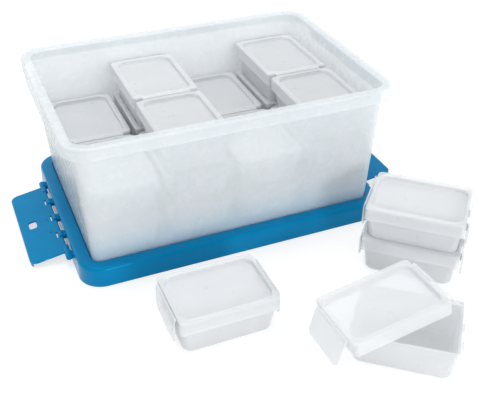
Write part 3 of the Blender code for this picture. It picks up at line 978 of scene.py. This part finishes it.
PAIR_TURN = -41.9
OPEN_TURN = -38.7
ASKEW_TILT = (-4.8, -9.5, 1.0)
ASKEW_TOP = Vector((54.9 * MM, TUB_MIDDLE.y - 279.2 * MM, 51.9 * MM))
LEFT_SPLAY = 27.0
RIGHT_SPLAY = 31.0

for tail, turn in (("single", 0.0), ("pair_low", PAIR_TURN), ("pair_high", PAIR_TURN)):
    place = at_node("tray_" + tail, turn)
    cup("tray_" + tail, tray_shape, place)
    cup("cap_" + tail, plain_cap, place)
    add_flaps(tail, place)

cup("tray_open", tray_shape, at_node("tray_open", OPEN_TURN))
askew = Euler([math.radians(angle) for angle in ASKEW_TILT]).to_matrix().to_4x4()
askew_place = Matrix.Translation(ASKEW_TOP) @ askew @ Matrix.Translation((0, 0, -CAP_TOP))
cup("cap_open", plain_cap, askew_place)
add_flaps("open", askew_place, LEFT_SPLAY, RIGHT_SPLAY)
print("pieces in all:", len(made), "of", len(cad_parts), "nodes")

# %% [markdown]
# ## Floor
#
# The photograph is a cut-out on white. To the camera, and through clear or shiny plastic, this
# floor is part glow and part plain paint, so it comes out white but keeps a pale shadow under
# each piece. To all other light it is plain white paint, which lights the pieces from below.
# Paint alone would need so much light to turn white that the pale plastic would burn out.

# %% Floor
FLOOR_GLOW = 0.68
FLOOR_HALF = 4.0
FLOOR_GAP = 0.2 * MM


def floor_material():
    """Paint that partly glows, but only to the rays that the camera follows."""
    material, tree, shader = new_material("matt_white_floor")
    shader.inputs["Roughness"].default_value = 0.9
    shader.inputs["Specular IOR Level"].default_value = 0.1
    rays = add_node(tree, "ShaderNodeLightPath").outputs
    seen = rays["Is Camera Ray"]
    for name in ("Is Transmission Ray", "Is Glossy Ray"):
        either = add_node(tree, "ShaderNodeMath", {"operation": "MAXIMUM"})
        tree.links.new(seen, either.inputs[0])
        tree.links.new(rays[name], either.inputs[1])
        seen = either.outputs[0]
    tree.links.new(tint(tree, seen, "f2f2f2", "aeaeae"), shader.inputs["Base Color"])
    glow = add_node(tree, "ShaderNodeMath", {"operation": "MULTIPLY"})
    tree.links.new(seen, glow.inputs[0])
    glow.inputs[1].default_value = FLOOR_GLOW
    tree.links.new(glow.outputs[0], shader.inputs["Emission Strength"])
    shader.inputs["Emission Color"].default_value = (1.0, 1.0, 1.0, 1.0)
    return material


shape = bmesh.new()
bmesh.ops.create_grid(shape, x_segments=1, y_segments=1, size=FLOOR_HALF)
floor_shape = bpy.data.meshes.new("floor")
shape.to_mesh(floor_shape)
shape.free()
floor_shape.materials.append(floor_material())
floor = bpy.data.objects.new("floor", floor_shape)
floor.location.z = -FLOOR_GAP
bpy.context.scene.collection.objects.link(floor)
print("floor is", floor.dimensions.x, "m wide")

# %% [markdown]
# ## Light
#
# Product photographs of clear plastic use large soft lamps, so that edges show as gentle
# lines. A white world fills every side, one soft lamp hangs over the tub and lights into it,
# a second one stands in front of everything, and a weak third one fills in from the right.
# The world alone could light it all, but then no edge would stand out. To the camera the world
# is pure white, as the photograph's ground is.

# %% World
WORLD_LIGHT = 0.73
world = bpy.data.worlds.new("white_studio")
bpy.context.scene.world = world
world.use_nodes = True
world_tree = world.node_tree
world_rays = add_node(world_tree, "ShaderNodeLightPath").outputs
background = world_tree.nodes["Background"]
background.inputs["Color"].default_value = (0.98, 0.99, 1.0, 1.0)
background.inputs["Strength"].default_value = WORLD_LIGHT
white = add_node(world_tree, "ShaderNodeBackground", Strength=1.0)
white.inputs["Color"].default_value = (1.0, 1.0, 1.0, 1.0)
choose = add_node(world_tree, "ShaderNodeMixShader")
world_tree.links.new(world_rays["Is Camera Ray"], choose.inputs[0])
world_tree.links.new(background.outputs[0], choose.inputs[1])
world_tree.links.new(white.outputs[0], choose.inputs[2])
world_tree.links.new(choose.outputs[0], world_tree.nodes["World Output"].inputs["Surface"])
print("world nodes:", len(world_tree.nodes))

# %% Lamps


def soft_lamp(name, place, target, size, watts):
    """A round area lamp that looks at a target."""
    lamp = bpy.data.lights.new(name, "AREA")
    lamp.shape = "DISK"
    lamp.size = size
    lamp.energy = watts
    obj = bpy.data.objects.new(name, lamp)
    obj.location = place
    aim = Vector(target) - Vector(place)
    obj.rotation_euler = aim.to_track_quat("-Z", "Y").to_euler()
    bpy.context.scene.collection.objects.link(obj)
    return obj


soft_lamp("over_the_tub", (-0.15, 0.25, 1.15), (0, 0.1, 0.1), size=0.6, watts=4.4)
soft_lamp("in_front", (0.2, -2.7, 0.8), (0, 0, 0.08), size=0.8, watts=20.0)
soft_lamp("from_the_right", (1.7, -0.5, 0.45), (0.1, -0.1, 0.05), size=0.8, watts=6.0)

# %% [markdown]
# ## Camera
#
# The camera's place and lens come from solving the photograph's perspective: the edges of the
# tub, lid and containers in the picture fix where the lens stood. It looks down by 35 degrees
# and from the left by 23 degrees.

# %% Camera
YAW, PITCH, ROLL = (math.radians(angle) for angle in (23.31, 34.69, 0.484))
ahead = Vector(
    (math.sin(YAW) * math.cos(PITCH), math.cos(YAW) * math.cos(PITCH), -math.sin(PITCH))
)
level = Vector((math.cos(YAW), -math.sin(YAW), 0))
upward = level.cross(ahead)
right = math.cos(ROLL) * level + math.sin(ROLL) * upward
upward = math.cos(ROLL) * upward - math.sin(ROLL) * level
lens = bpy.data.cameras.new("camera")
lens.sensor_width = 36.0
lens.lens = 56.24
lens.clip_start = 0.01
camera = bpy.data.objects.new("camera", lens)
axes = Matrix((right, upward, -ahead)).transposed().to_4x4()
camera_place = Vector((-0.24007, TUB_MIDDLE.y - 0.68532, 0.48485))
camera.matrix_world = Matrix.Translation(camera_place) @ axes
bpy.context.scene.collection.objects.link(camera)
bpy.context.scene.camera = camera
bpy.context.scene.view_settings.view_transform = "Standard"
print("camera at", [round(value, 3) for value in camera_place])
